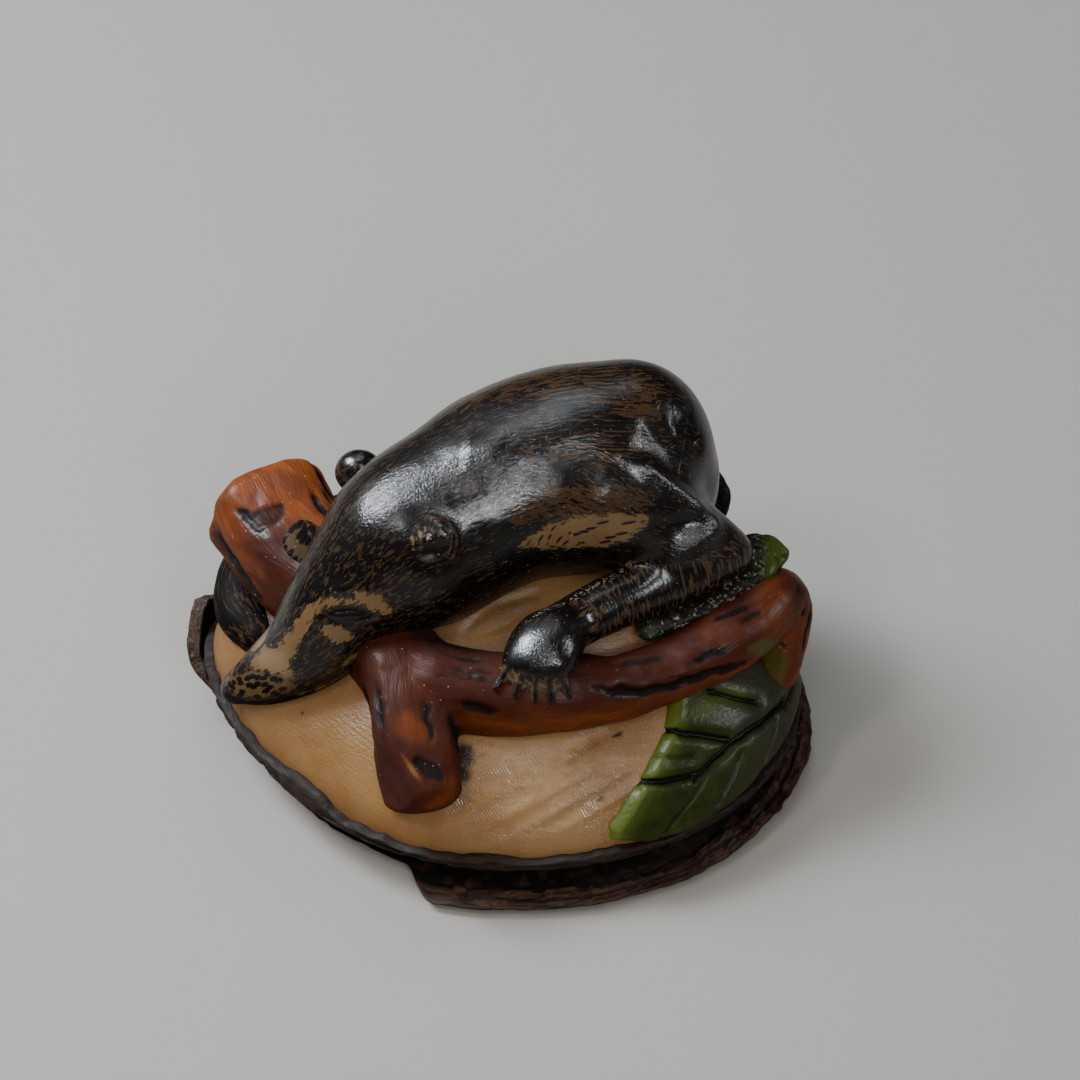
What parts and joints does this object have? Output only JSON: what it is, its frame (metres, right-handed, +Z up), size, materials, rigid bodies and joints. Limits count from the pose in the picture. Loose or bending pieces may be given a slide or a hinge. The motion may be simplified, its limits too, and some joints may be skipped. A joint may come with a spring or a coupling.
{
  "type": "tagua coatimundi carving",
  "caption": "Small painted vegetable-ivory carving of a resting coatimundi on a leafy branch, set in the remains of the seed's dark shell.",
  "frame": {"origin": "middle of the flat foot, on the surface it stands on", "axes": "+X along the carving from the animal's snout to its rump, +Y to its back, +Z up"},
  "size_m": [0.0589, 0.0492, 0.0382],
  "materials": {
    "carved_nut": "varnished painted vegetable ivory",
    "shell_dish": "dark fibrous seed shell"
  },
  "bodies": {
    "root": {"carved_nut": "carved_nut", "shell_dish": "shell_dish"}
  },
  "joints": []
}
